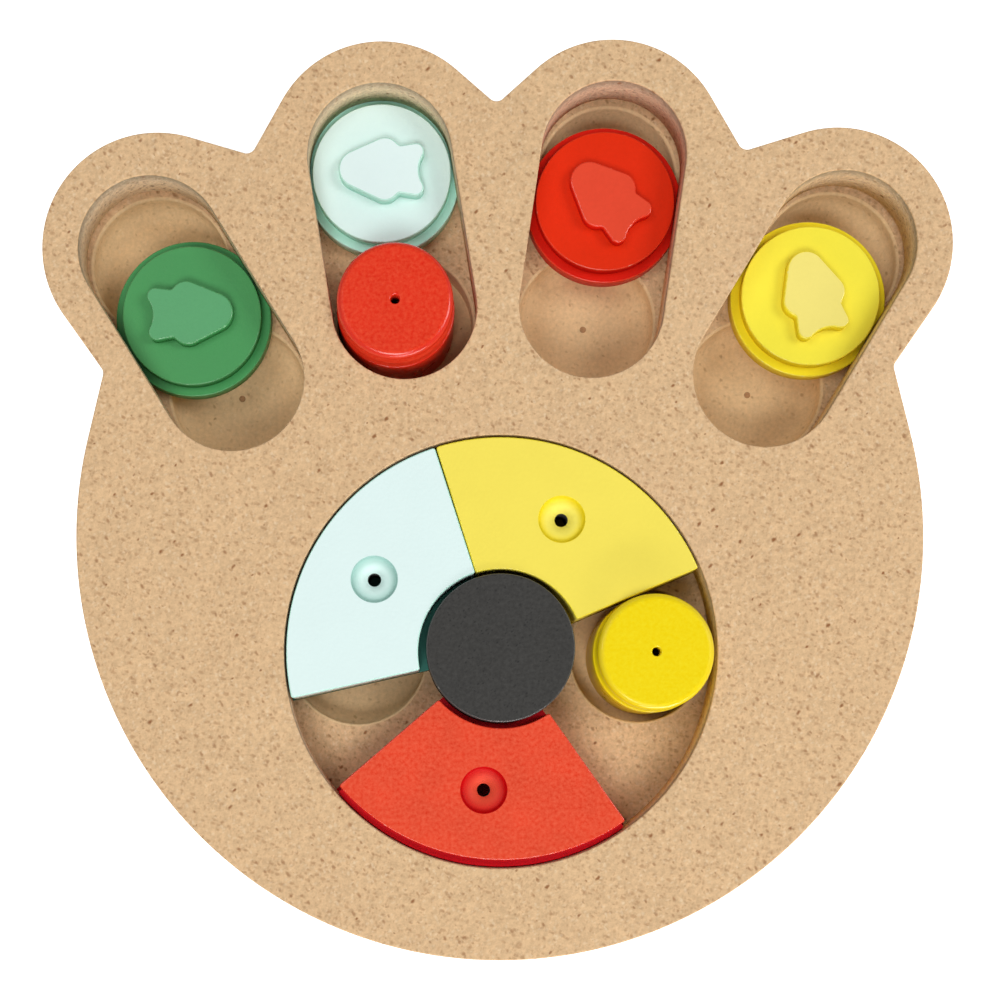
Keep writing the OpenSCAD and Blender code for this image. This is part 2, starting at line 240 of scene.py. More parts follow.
def lid(bm, z, finish=0):
    """Fills the flat face between all open edges at one height"""
    rims = [e for e in bm.edges if e.is_boundary and all(abs(v.co.z - z) < ARC_SAG for v in e.verts)]
    made = bmesh.ops.triangle_fill(bm, use_beauty=True, edges=rims, normal=(0, 0, 1))["geom"]
    for face in made:
        if isinstance(face, bmesh.types.BMFace):
            face.material_index = finish


print("an eased rim of 1 mm:", [(round(grow, 2), round(z, 2)) for grow, z in eased(1.0, 0.0, 1)])

# %% [markdown]
# ## Turned pieces
# Discs, the hub and the plugs are round, so they are turned: half a cross-section is spun once round
# its axis. Which way a face looks tells what it is on such a piece, so a slanting face can take the
# finish of a rim, and an upright one that of a side.

# %% Lathe
TURN_STEPS = 120
MERGE = 0.0005
UPRIGHT, LEVEL = 0.1, 0.97


def lathe(bm, profile, centre, closed=False, finish=0, rim=None, side=None):
    """Spins a profile of (radius, z) once round an upright axis; rims and sides may have other finishes"""
    part = bmesh.new()
    verts = [part.verts.new((centre[0] + r, centre[1], z)) for r, z in profile]
    pairs = list(zip(verts, verts[1:])) + ([(verts[-1], verts[0])] if closed else [])
    edges = [part.edges.new(pair) for pair in pairs]
    bmesh.ops.spin(part, geom=verts + edges, cent=(*centre, 0), axis=(0, 0, 1), angle=TURN,
                   steps=TURN_STEPS, use_merge=True)
    bmesh.ops.remove_doubles(part, verts=part.verts, dist=MERGE)
    part.normal_update()
    for face in part.faces:
        rise = abs(face.normal.z)
        if side is not None and rise <= UPRIGHT:
            face.material_index = side
        elif rim is not None and UPRIGHT < rise < LEVEL:
            face.material_index = rim
        else:
            face.material_index = finish
    join(bm, part)


print("sides of a turned piece:", TURN_STEPS)

# %% [markdown]
# ## Finishing a piece
# Every piece ends the same way. Doubles are merged first and the normals recalculated after that,
# flat faces stay flat and curved ones are smoothed, and the mesh is scaled to metres in place, so the
# object itself sits at the origin and a pattern can't slide on it. The piece then takes its finishes
# and moves with the solid's body, and the solid is hidden, so the piece stands for it.

# %% Finish a piece
FLAT = 0.9999


def finish_piece(bm, node, ending, finishes):
    """Turns a bmesh into the piece that stands for one solid"""
    bmesh.ops.remove_doubles(bm, verts=bm.verts, dist=MERGE)
    bmesh.ops.recalc_face_normals(bm, faces=bm.faces)
    for face in bm.faces:
        face.smooth = abs(face.normal.z) < FLAT
    open_edges = sum(not e.is_manifold for e in bm.edges)
    bmesh.ops.scale(bm, vec=(MM, MM, MM), verts=bm.verts)
    mesh = bpy.data.meshes.new(f"{node}_{ending}")
    bm.to_mesh(mesh)
    bm.free()
    for finish in finishes:
        mesh.materials.append(finish)
    piece = bpy.data.objects.new(mesh.name, mesh)
    bpy.context.scene.collection.objects.link(piece)
    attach(piece, body_of[node])
    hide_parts(node)
    print(f"{piece.name}: {len(mesh.polygons)} faces, {open_edges} open edges")


# %% [markdown]
# ## Wiring materials
# A material is a small graph of nodes. One helper adds a node, sets its plain values and links the
# sockets that come from other nodes, and short ones on top of it stand for the nodes that are used
# most, which keeps each recipe readable. Colours are written as they look on a screen, and are changed
# to the linear values that the shader works with.

# %% Node helpers and colours
def add(tree, kind, inputs=None, **settings):
    """Adds a node, with plain values or links for its inputs"""
    made = tree.nodes.new(kind)
    for key, value in settings.items():
        setattr(made, key, value)
    for key, value in (inputs or {}).items():
        if isinstance(value, bpy.types.NodeSocket):
            tree.links.new(value, made.inputs[key])
        else:
            made.inputs[key].default_value = value
    return made


def maths(tree, operation, *values):
    """Result of a Math node"""
    return add(tree, "ShaderNodeMath", dict(enumerate(values)), operation=operation).outputs[0]


def vectors(tree, operation, *values):
    """Outputs of a Vector Math node"""
    return add(tree, "ShaderNodeVectorMath", dict(enumerate(values)), operation=operation).outputs


def ranged(tree, value, start, stop, low=0.0, high=1.0, shape="LINEAR"):
    """Maps a value that goes from start to stop onto low to high"""
    limits = {"Value": value, "From Min": start, "From Max": stop, "To Min": low, "To Max": high}
    return add(tree, "ShaderNodeMapRange", limits, interpolation_type=shape).outputs[0]


def screen(red, green, blue):
    """Linear colour of a screen colour from 0 to 255"""
    parts = [v / 255 for v in (red, green, blue)]
    return (*[v / 12.92 if v <= 0.04045 else ((v + 0.055) / 1.055) ** 2.4 for v in parts], 1.0)


print("a middle grey on the screen is linear", round(screen(128, 128, 128)[0], 3))

# %% [markdown]
# ## Node groups
# Flecks and mottling are used by many finishes, so each is built once, as a group with named sockets,
# and placed in every material with that material's own values.

# %% Group helpers
VALUE, VECTOR = "NodeSocketFloat", "NodeSocketVector"


def new_group(name, inputs, outputs):
    """An empty shader node group with named sockets: its tree, what it is given and what it puts out"""
    tree = bpy.data.node_groups.new(name, "ShaderNodeTree")
    for label, kind in inputs.items():
        tree.interface.new_socket(label, in_out="INPUT", socket_type=kind)
    for label, kind in outputs.items():
        tree.interface.new_socket(label, in_out="OUTPUT", socket_type=kind)
    return tree, add(tree, "NodeGroupInput").outputs, add(tree, "NodeGroupOutput").inputs


def placed(tree, group, inputs):
    """Outputs of a group that is placed in a material"""
    return add(tree, "ShaderNodeGroup", inputs, node_tree=group).outputs


print("socket kinds:", VALUE, VECTOR)

# %% [markdown]
# ## Flecks
# Fibreboard is pressed from wood fibre, and its face is full of short dark and pale flecks. Voronoi
# cells give one fleck each: the distance to the cell's middle makes the spot, the cell's own random
# colour decides whether it shows and how big it is, and squeezing the coordinates makes it long. A
# little noise on the coordinates roughens its outline. A bitmap of a real board would look fine from
# one side only, while this works on every wall as well.

# %% Group: flecks
WOBBLE_SCALE = 900.0
WOBBLE_DETAIL = 2.0
WOBBLE_MIDDLE = 0.5
WOBBLE_REACH = 0.0008
SQUEEZE = 0.6
SPREAD = (0.5, 1.3)
FLECK_CORE = 0.25


def fleck_group():
    """A mask of long spots, one to a cell, of which a share shows"""
    tree, given, out = new_group(
        "fibre_flecks",
        {"Vector": VECTOR, "Spacing": VALUE, "Size": VALUE, "Share": VALUE, "Turn": VALUE},
        {"Mask": VALUE})
    wobble = add(tree, "ShaderNodeTexNoise",
                 {"Vector": given["Vector"], "Scale": WOBBLE_SCALE, "Detail": WOBBLE_DETAIL})
    centred = vectors(tree, "SUBTRACT", wobble.outputs["Color"], (WOBBLE_MIDDLE,) * 3)[0]
    shifted = vectors(tree, "MULTIPLY_ADD", centred, (WOBBLE_REACH,) * 3, given["Vector"])[0]
    turned = add(tree, "ShaderNodeVectorRotate", {"Vector": shifted, "Angle": given["Turn"]},
                 rotation_type="Z_AXIS").outputs[0]
    squeezed = vectors(tree, "MULTIPLY", turned, (1.0, SQUEEZE, 1.0))[0]
    scale = maths(tree, "DIVIDE", 1.0, given["Spacing"])
    cells = add(tree, "ShaderNodeTexVoronoi", {"Vector": squeezed, "Scale": scale}).outputs
    chance = add(tree, "ShaderNodeSeparateColor", {"Color": cells["Color"]}).outputs
    spread = ranged(tree, chance["Green"], 0.0, 1.0, *SPREAD)
    reach = maths(tree, "MULTIPLY", spread, given["Size"])
    core = maths(tree, "MULTIPLY", reach, FLECK_CORE)
    spot = ranged(tree, cells["Distance"], reach, core, shape="SMOOTHSTEP")
    chosen = maths(tree, "LESS_THAN", chance["Red"], given["Share"])
    tree.links.new(maths(tree, "MULTIPLY", spot, chosen), out["Mask"])
    return tree


flecks = fleck_group()
print("group made:", flecks.name)

# %% [markdown]
# ## Mottling
# Both bare board and sprayed paint are uneven in two sizes: a fine tooth of about a millimetre, and
# broad soft clouds. One group gives both as values round zero, so each finish can decide how much of
# either it shows, and the fine one is also a height for the bump.

# %% Group: mottling
TOOTH_DETAIL, CLOUD_DETAIL = 5.0, 3.0
NOISE_ROUGHNESS = 0.6
NOISE_RANGE = (0.25, 0.75)


def mottle_group():
    """Fine and broad unevenness, from -1 to 1"""
    tree, given, out = new_group(
        "mottling",
        {"Vector": VECTOR, "Tooth": VALUE, "Cloud": VALUE},
        {"Fine": VALUE, "Broad": VALUE})
    for label, size, detail in (("Fine", "Tooth", TOOTH_DETAIL), ("Broad", "Cloud", CLOUD_DETAIL)):
        scale = maths(tree, "DIVIDE", 1.0, given[size])
        noise = add(tree, "ShaderNodeTexNoise",
                    {"Vector": given["Vector"], "Scale": scale, "Detail": detail,
                     "Roughness": NOISE_ROUGHNESS})
        tree.links.new(ranged(tree, noise.outputs["Fac"], *NOISE_RANGE, -1.0, 1.0), out[label])
    return tree


mottling = mottle_group()
print("group made:", mottling.name)

# %% [markdown]
# ## What all finishes share
# Board, paint and steel start from the same shader and are built up in the same few ways: a colour is
# made lighter and darker by the mottling, tints and flecks are laid over it, and the roughness and the
# normal vary with the mottling too.

# %% Finish helpers
def principled(name, roughness):
    """A new material with its shader and Object coordinates"""
    material = bpy.data.materials.new(name)
    material.use_nodes = True
    tree = material.node_tree
    shader = tree.nodes["Principled BSDF"]
    shader.inputs["Roughness"].default_value = roughness
    where = add(tree, "ShaderNodeTexCoord").outputs["Object"]
    return material, tree, shader, where


def toned(tree, colour, amount, value):
    """Lightens and darkens a colour by a value round zero"""
    gain = maths(tree, "MULTIPLY_ADD", value, amount, 1.0)
    return add(tree, "ShaderNodeHueSaturation", {"Color": colour, "Value": gain}).outputs["Color"]


def tinted(tree, colour, weight, tint):
    """Lays a tint over a colour where a mask is"""
    mix = add(tree, "ShaderNodeMix", {"Factor": weight, 6: colour, 7: tint}, data_type="RGBA")
    return mix.outputs[2]


def flecked(tree, colour, where, tint, spacing, size, share, turn, strength):
    """Lays one layer of flecks over a colour"""
    values = {"Vector": where, "Spacing": spacing, "Size": size, "Share": share, "Turn": turn}
    mask = placed(tree, flecks, values)["Mask"]
    return tinted(tree, colour, maths(tree, "MULTIPLY", mask, strength), tint)


def roughened(tree, shader, value, amount, roughness):
    """Varies the shader's roughness by a value round zero"""
    rough = maths(tree, "MULTIPLY_ADD", value, amount, roughness)
    tree.links.new(rough, shader.inputs["Roughness"])


def bumped(tree, shader, height, strength, depth):
    """Feeds a height to the shader's normal"""
    bump = add(tree, "ShaderNodeBump", {"Height": height, "Strength": strength, "Distance": depth})
    tree.links.new(bump.outputs["Normal"], shader.inputs["Normal"])


print("groups for the finishes:", [g.name for g in bpy.data.node_groups])

# %% [markdown]
# ## Fibreboard: the recipe
# Six layers of flecks of about the same size lie on the mottled board, from close faint ones to sparse
# strong ones. A cut wall also gets darker towards the top of the board, over its upper few
# millimetres.

# %% Fibreboard recipe
BOARD_TOOTH = 0.0014
BOARD_CLOUD = 0.016
BOARD_GLOSS = 0.1
BOARD_ROUGH_CHANGE = 0.08
BOARD_BUMP_DEPTH = 0.0003
TOP_DARKENING_DEPTH = 6.0
# Kind, spacing in metres, size as a share of the spacing, turn and strength
FLECK_LAYERS = (
    ("dark", 0.0011, 0.52, 0.3, 0.24),
    ("dark", 0.0015, 0.46, 1.9, 0.36),
    ("pale", 0.0011, 0.48, 1.1, 0.28),
    ("pale", 0.0017, 0.36, 2.8, 0.36),
    ("dark", 0.0024, 0.27, 2.5, 0.55),
    ("dark", 0.0042, 0.16, 0.8, 0.85),
)


def fibreboard(name, base, dark, pale, shares, fine, broad, roughness, bump, top_darkening=0.0):
    """Bare board of a base colour, with shares of dark and pale flecks"""
    material, tree, shader, where = principled(name, roughness)
    shader.inputs["Specular IOR Level"].default_value = BOARD_GLOSS
    uneven = placed(tree, mottling, {"Vector": where, "Tooth": BOARD_TOOTH, "Cloud": BOARD_CLOUD})
    colour = toned(tree, base, fine, uneven["Fine"])
    colour = toned(tree, colour, broad, uneven["Broad"])
    # Darkens the colour over the top few millimetres of the board
    if top_darkening:
        height = add(tree, "ShaderNodeSeparateXYZ", {"Vector": where}).outputs["Z"]
        toward_top = ranged(tree, height, (BOARD_TOP - TOP_DARKENING_DEPTH) * MM, BOARD_TOP * MM, shape="SMOOTHSTEP")
        colour = toned(tree, colour, -top_darkening, toward_top)
    kinds = {"dark": (dark, shares[0]), "pale": (pale, shares[1])}
    for kind, spacing, size, turn, strength in FLECK_LAYERS:
        tint, share = kinds[kind]
        colour = flecked(tree, colour, where, tint, spacing, size, share, turn, strength)
    tree.links.new(colour, shader.inputs["Base Color"])
    roughened(tree, shader, uneven["Fine"], BOARD_ROUGH_CHANGE, roughness)
    bumped(tree, shader, uneven["Fine"], bump, BOARD_BUMP_DEPTH)
    return material


print("fleck layers:", len(FLECK_LAYERS))

# %% [markdown]
# ## Fibreboard: five finishes
# The sanded face is pale tan. Walls that a cutter went through are painted paler than the face, as
# painted light on the walls, and darken towards the top. The floors of the wells are smoother, with
# fewer flecks, and are painted paler as well, as painted light in the wells. The sawn outer edge is
# browner, and darker still as painted shade against the floor's glow. The dimple at each drill point is
# darkest. One recipe makes all five, from their own colours and amounts.

# %% Fibreboard finishes
sanded_face = fibreboard(
    "sanded_fibreboard", screen(223, 187, 144), screen(140, 86, 46), screen(246, 222, 186),
    shares=(0.62, 0.5), fine=0.19, broad=0.03, roughness=0.85, bump=0.25)
# Painted light: the milled walls are made paler than the face
milled_wall_painted_light = fibreboard(
    "milled_fibreboard", screen(252, 222, 186), screen(166, 118, 82), screen(255, 232, 200),
    shares=(0.55, 0.5), fine=0.18, broad=0.05, roughness=0.9, bump=0.6, top_darkening=0.56)
# Painted light: the well floors are made paler than the face
floor_face_painted_light = fibreboard(
    "smooth_fibreboard", screen(234, 200, 153), screen(170, 128, 90), screen(244, 216, 174),
    shares=(0.14, 0.3), fine=0.12, broad=0.04, roughness=0.8, bump=0.15)
# Painted shade: the sawn edge is made darker against the floor's glow
sawn_edge_painted_shade = fibreboard(
    "sawn_fibreboard", screen(198, 158, 116), screen(134, 90, 54), screen(222, 188, 146),
    shares=(0.55, 0.5), fine=0.18, broad=0.04, roughness=0.9, bump=0.5, top_darkening=0.12)
drilled_face = fibreboard(
    "drilled_fibreboard", screen(184, 140, 100), screen(110, 74, 46), screen(180, 136, 96),
    shares=(0.5, 0.2), fine=0.20, broad=0.03, roughness=0.9, bump=0.4)
print("fibreboard finishes:", [m.name for m in bpy.data.materials])

# %% [markdown]
# ## Paint: the recipe
# The loose pieces are fibreboard too, sprayed in satin colours. Sprayed paint isn't flat: a faint
# orange-peel surface breaks up the light. The recipe can add specks or flecks of another colour, a pale
# bloom where a coat has dried thin, and painted shade that darkens a finger dish towards its rim, which
# is found by the distance from the dish's middle.

# %% Paint recipe
PAINT_TOOTH = 0.0012
PAINT_CLOUD = 0.011
PAINT_ROUGH_CHANGE = 0.06
PAINT_BUMP_DEPTH = 0.0002
SPECK_SIZE = 0.36
SPECK_TURN = 0.9
DISH_R = 7.5


def paint(name, colour, fine, broad, roughness, gloss=0.12, specks=None, peel=0.12, dish_shade=None, bloom=None):
    """Sprayed paint; specks, painted dish shade and bloom are extras that a finish may have"""
    material, tree, shader, where = principled(name, roughness)
    shader.inputs["Specular IOR Level"].default_value = gloss
    uneven = placed(tree, mottling, {"Vector": where, "Tooth": PAINT_TOOTH, "Cloud": PAINT_CLOUD})
    mixed = toned(tree, colour, fine, uneven["Fine"])
    mixed = toned(tree, mixed, broad, uneven["Broad"])
    if specks:
        tint, strength, spacing, share = specks
        mixed = flecked(tree, mixed, where, tint, spacing, SPECK_SIZE, share, SPECK_TURN, strength)
    if bloom:
        pale_tint, strength = bloom
        mixed = tinted(tree, mixed, ranged(tree, uneven["Fine"], -1.0, 1.0, 0.0, strength), pale_tint)
    # Painted shade: the dish darkens towards its rim, by the distance from its middle
    if dish_shade:
        centre, dish_shade_tint, start = dish_shade
        level = vectors(tree, "MULTIPLY", where, (1.0, 1.0, 0.0))[0]
        away = vectors(tree, "DISTANCE", level, (centre[0] * MM, centre[1] * MM, 0.0))["Value"]
        shade_near_rim = ranged(tree, away, start * DISH_R * MM, DISH_R * MM, shape="SMOOTHSTEP")
        mixed = tinted(tree, mixed, shade_near_rim, dish_shade_tint)
    tree.links.new(mixed, shader.inputs["Base Color"])
    roughened(tree, shader, uneven["Broad"], PAINT_ROUGH_CHANGE, roughness)
    bumped(tree, shader, uneven["Fine"], peel, PAINT_BUMP_DEPTH)
    return material


print("paint tooth in metres:", PAINT_TOOTH)

# %% [markdown]
# ## Paint: sliders
# A slider has one colour in three mixes. The cap has the plain one; the shoe and all sides a fuller,
# darker one, as painted shade; and the fish's top a lighter one, as a painted sheen.

# %% Slider paints
SATIN = 0.36
paints = {
    "green": paint("green_paint", screen(80, 158, 94), fine=0.02, broad=0.02, roughness=SATIN),
    "mint": paint("mint_paint", screen(230, 255, 250), fine=0.008, broad=0.008, roughness=SATIN),
    "red": paint("red_paint", screen(232, 48, 14), fine=0.03, broad=0.03, roughness=SATIN),
    "yellow": paint("yellow_paint", screen(254, 240, 72), fine=0.012, broad=0.012, roughness=SATIN),
}
# Painted shade: fuller, darker copies of the slider colours for the shoes and all sides
shaded_shoe_paints = {
    "green": paint("green_shoe_shaded_paint", screen(74, 154, 90), fine=0.02, broad=0.02, roughness=SATIN),
    "mint": paint("mint_shoe_shaded_paint", screen(190, 246, 228), fine=0.008, broad=0.01, roughness=SATIN),
    "red": paint("red_shoe_shaded_paint", screen(224, 30, 14), fine=0.03, broad=0.03, roughness=SATIN),
    "yellow": paint("yellow_shoe_shaded_paint", screen(252, 230, 40), fine=0.012, broad=0.012, roughness=SATIN),
}
# Painted sheen: lighter copies for the fish tops, in place of a reflection of the lamps
fish_sheen_paints = {
    "green": paint("green_fish_sheen_paint", screen(96, 168, 114), fine=0.02, broad=0.02, roughness=SATIN),
    "mint": paint("mint_fish_sheen_paint", screen(236, 255, 252), fine=0.008, broad=0.008, roughness=SATIN),
    "red": paint("red_fish_sheen_paint", screen(234, 76, 50), fine=0.03, broad=0.03, roughness=SATIN),
    "yellow": paint("yellow_fish_sheen_paint", screen(250, 234, 128), fine=0.012, broad=0.012, roughness=SATIN),
}
print("slider paints:", len(paints) + len(shaded_shoe_paints) + len(fish_sheen_paints))

# %% [markdown]
# ## Paint: sectors
# The sectors' plates are a little duller than the sliders, and the red one has dried with a bloom. In
# the finger dishes painted shade darkens the paint towards the rim, and the floor of a dish is painted
# lighter than its plate, as painted light. The runners below have a thin, dull coat; on mint and yellow
# it is much darker, as painted shade for the gaps round the hub and under the claw holes.

# %% Sector paints
PLATE_SHEEN = 0.45
RUNNER_SHEEN = 0.6
BLOOM = 0.7
sector_paints = {
    "mint": paint("mint_sector_paint", screen(230, 250, 247), fine=0.008, broad=0.008,
                  roughness=PLATE_SHEEN),
    "red": paint("red_sector_paint", screen(228, 54, 22), fine=0.05, broad=0.10, roughness=PLATE_SHEEN,
                 bloom=(screen(246, 112, 80), BLOOM)),
    "yellow": paint("yellow_sector_paint", screen(251, 232, 94), fine=0.015, broad=0.015,
                    roughness=PLATE_SHEEN),
}
# Dish floor colour, painted lighter; painted shade at its rim; and where that shade starts, as a share of
# its radius
dish_light_and_shade = {
    "mint": (screen(228, 255, 249), screen(172, 213, 203), 0.5),
    "red": (screen(242, 84, 60), screen(208, 6, 12), 0.38),
    "yellow": (screen(255, 240, 104), screen(246, 222, 36), 0.6),
}
dish_shaded_paints = {}
for colour, (turn, shift) in SECTORS.items():
    centre = ring_point(math.radians(turn), RING_R - shift)
    dish_light_tint, dish_shade_tint, start = dish_light_and_shade[colour]
    dish_shaded_paints[colour] = paint(f"{colour}_dish_shaded_paint", dish_light_tint, fine=0.02, broad=0.02,
                                roughness=PLATE_SHEEN, dish_shade=(centre, dish_shade_tint, start))
# Painted shade: the mint and yellow runners are much darker, for the gaps round the hub and under the claw
# holes
runner_paints_and_shade = {
    "mint": paint("mint_runner_painted_shade", screen(70, 135, 122), fine=0.03, broad=0.05, roughness=RUNNER_SHEEN),
    "red": paint("red_runner_paint", screen(225, 20, 36), fine=0.03, broad=0.05, roughness=RUNNER_SHEEN),
    "yellow": paint("yellow_runner_painted_shade", screen(160, 136, 24), fine=0.03, broad=0.05,
                    roughness=RUNNER_SHEEN),
}
print("sector paints:", len(sector_paints) + len(dish_shaded_paints) + len(runner_paints_and_shade))

# %% [markdown]
# ## Paint: plugs, hub and rims
# The plugs are the shiniest pieces, with a bloom on top and a glossy round edge, painted a little
# lighter as painted highlight. The hub is matt charcoal with fine specks. The eased rims that show
# are rubbed glossy and painted paler than their face, as painted highlight, but fuller on mint, as
# painted shade; the pale flecks in them are partly chips and partly painted highlight.

# %% Plug, hub and rim paints
PLUG_SHEEN = 0.3
GLOSSY_SHEEN = 0.2
GLOSSY = 0.8
MATT = 0.7
RUBBED_SHEEN = 0.25
RUBBED = 0.7
# Strength, spacing in metres and share
SPECKS = (0.6, 0.0009, 0.5)
CHIPS_AND_GLINTS = (0.7, 0.0016, 0.35)
plug_paints = {
    "red": paint("red_plug_paint", screen(226, 34, 8), fine=0.03, broad=0.06, roughness=PLUG_SHEEN,
                 bloom=(screen(244, 90, 58), BLOOM)),
    "yellow": paint("yellow_plug_paint", screen(246, 214, 0), fine=0.012, broad=0.012, roughness=PLUG_SHEEN,
                    bloom=(screen(251, 232, 40), BLOOM)),
}
# Painted highlight: the plugs' round edges are a little lighter than the plugs
glossy_highlight_paints = {
    "red": paint("red_glossy_highlight_paint", screen(230, 46, 22), fine=0.02, broad=0.03,
                 roughness=GLOSSY_SHEEN, gloss=GLOSSY),
    "yellow": paint("yellow_glossy_highlight_paint", screen(250, 222, 10), fine=0.012, broad=0.012,
                    roughness=GLOSSY_SHEEN, gloss=GLOSSY),
}
charcoal = paint("charcoal_paint", screen(65, 64, 62), fine=0.24, broad=0.05, roughness=MATT,
                 specks=(screen(40, 40, 40), *SPECKS), peel=0.3)
# Colour of the rim, paler as painted highlight (fuller on mint, as painted shade), and colour of its
# pale flecks, partly chips and partly painted highlight
rim_highlight_and_shade_colours = {
    "green": (screen(84, 160, 100), screen(150, 205, 160)),
    "mint": (screen(196, 244, 228), screen(236, 252, 248)),
    "red": (screen(236, 60, 30), screen(250, 150, 130)),
    "yellow": (screen(250, 230, 60), screen(254, 244, 160)),
    "charcoal": (screen(76, 75, 73), screen(140, 138, 134)),
}
rim_highlight_and_shade_paints = {}
for name, (rim_colour, chip_and_glint) in rim_highlight_and_shade_colours.items():
    rim_highlight_and_shade_paints[name] = paint(f"{name}_rim_paint", rim_colour, fine=0.02, broad=0.02,
                             roughness=RUBBED_SHEEN, gloss=RUBBED, specks=(chip_and_glint, *CHIPS_AND_GLINTS))
print("paints made:", len([m for m in bpy.data.materials if m.name.endswith("paint")]))

# %% [markdown]
# ## The top board
# A router cut the paw from a thick sheet and then the openings. Each opening is wider at the bottom:
# an undercut with a lip above it keeps the sliders' shoes and the sectors' runners from falling out.
# The edges are eased a little by sanding, and a fine groove marks the seam to the base.

# %% Top board
board_finishes = [sanded_face, milled_wall_painted_light, sawn_edge_painted_shade, floor_face_painted_light, drilled_face]
SHEET, CUT, EDGE, WELL, DRILLED = range(len(board_finishes))
LIP = 17.0
UNDERCUT = 2.9
EDGE_EASE = 0.6
RIM_EASE = 0.45
SEAM = 0.3

bm = bmesh.new()
wall(bm, paw, eased(EDGE_EASE, BOARD_TOP, 1) + [(0, BASE_TOP + SEAM), (-SEAM, BASE_TOP)], EDGE, SHEET)
for arcs in [*slot_arcs.values(), circle(*RECESS, RECESS_R)]:
    wall(bm, arcs, eased(RIM_EASE, BOARD_TOP, -1) + [(0, LIP)], CUT, SHEET)
    wall(bm, arcs, [(UNDERCUT, LIP), (UNDERCUT, BASE_TOP)], CUT, CUT)
lid(bm, BOARD_TOP, SHEET)
lid(bm, LIP, CUT)
lid(bm, BASE_TOP, CUT)
finish_piece(bm, "top_board", "routed", board_finishes)

# %% [markdown]
# ## Treat wells
# A cutter with round corners sank the wells into the base: two in each slot and four round the ring,
# where its corners were tighter. Its centre point left a small dimple, and the rims are broken by a
# bevel, which shows as a pale line. The two wells under the plugs have nearly square corners, so a
# plug's foot can stand against their walls.

# %% Places and profiles of the wells
WELL_R = 23.0
WELL_FLOOR = 3.0
WELL_EASE = 0.9
SLOT_COVE = 6.0
RING_COVE = 1.6
TIGHT_COVE = 0.3
COVE_STEPS = 6
DIMPLE_R = 1.1
DIMPLE_DEPTH = 1.0
RING_WELLS = 4


def well_profile(cove):
    """Bevelled rim, wall and coved corner of a well, from its top to the dimple's edge"""
    rim = [(WELL_R + grow, z) for grow, z in eased(WELL_EASE, BASE_TOP, -1)]
    corner = [(WELL_R + cove * (math.cos(a) - 1), WELL_FLOOR + cove * (1 - math.sin(a)))
              for a in quarter_turn(COVE_STEPS)]
    return rim + corner + [(DIMPLE_R, WELL_FLOOR)]


wells = {(c, along): slot_point(c, along) for c in SLOTS for along in (0, SLOT_TRAVEL)}
for i in range(RING_WELLS):
    wells["ring", i] = ring_point(TURN * i / RING_WELLS, RING_R)
coves = {name: RING_COVE if name[0] == "ring" else SLOT_COVE for name in wells}
coves["mint", SLOT_TRAVEL] = TIGHT_COVE
coves["ring", 0] = TIGHT_COVE
print("wells:", len(wells))

# %% [markdown]
# ## The base board
# The base is a second paw of thinner sheet, glued below the first. Its wells and dimples are turned
# and set in, and a countersunk hole from below takes the hub's screw. The lids are filled in last,
# round all the rims that lie at their height.

# %% Base board
SCREW_R = 2.2
SCREW_HEAD_R = 4.2
SCREW_SINK = 0.6

bm = bmesh.new()
foot = [(grow, BASE_TOP - z) for grow, z in reversed(eased(EDGE_EASE, BASE_TOP, 1))]
wall(bm, paw, [(-SEAM, BASE_TOP), (0, BASE_TOP - SEAM)] + foot, EDGE, EDGE)
for name, well in wells.items():
    lathe(bm, well_profile(coves[name]), well, finish=WELL)
    lathe(bm, [(DIMPLE_R, WELL_FLOOR), (0, WELL_FLOOR - DIMPLE_DEPTH)], well, finish=DRILLED)
head = SCREW_HEAD_R - SCREW_R
screw_hole = [(0, BASE_TOP), (0, SCREW_SINK + head), (head, SCREW_SINK), (head, 0)]
wall(bm, circle(*HUB, SCREW_R), screw_hole, CUT, CUT)
lid(bm, BASE_TOP, SHEET)
lid(bm, 0, SHEET)
finish_piece(bm, "base_board", "bored", board_finishes)

# %% [markdown]
# ## Sliders: shoes and caps
# A slider is a sandwich. The wide shoe runs in the undercut, and the cap above it just fits between
# the lips. Both are discs, so both are turned. The cap's edge has a clear round, which with its paler
# rim paint, a painted highlight, draws the thin bright line near its rim, and its side has the shoe's
# darker paint, as painted shade.

# %% Shoes and caps
FACE, RIM, SIDE = 0, 1, 2
SHOE_BOTTOM = 12.2
SHOE_TOP = 16.6
SHOE_R = 26.2
SHOE_EASE = 0.4
CAP_TOP = 20.2
CAP_R = 23.3
CAP_EASE = 0.45


def disc(centre, radius, bottom, top, ease, side):
    """A solid disc with an eased top edge"""
    bm = bmesh.new()
    edge = [(radius + grow, z) for grow, z in eased(ease, top, 1)]
    lathe(bm, [(0, top)] + edge + [(radius, bottom), (0, bottom)], centre, rim=RIM, side=side)
    return bm


for colour, slot in SLOTS.items():
    centre = slot_point(colour, slot["seat"])
    shoe = disc(centre, SHOE_R, SHOE_BOTTOM, SHOE_TOP, SHOE_EASE, FACE)
    finish_piece(shoe, f"{colour}_shoe", "turned", [shaded_shoe_paints[colour], rim_highlight_and_shade_paints[colour]])
    cap = disc(centre, CAP_R, SHOE_TOP, CAP_TOP, CAP_EASE, SIDE)
    # The cap's side takes the shoe's darker paint, as painted shade
    finish_piece(cap, f"{colour}_cap", "turned", [paints[colour], rim_highlight_and_shade_paints[colour], shaded_shoe_paints[colour]])

# %% [markdown]
# ## Sliders: fish knobs
# Each knob is a plump fish, sawn from sheet and rounded over, for a paw to push against. Its outline
# is one more chain of rounds: nose, shoulders, the hollow of the waist, two tail lobes and the shallow
# hollow between them. It is drawn once, with its nose towards +X, and turned for each slider.

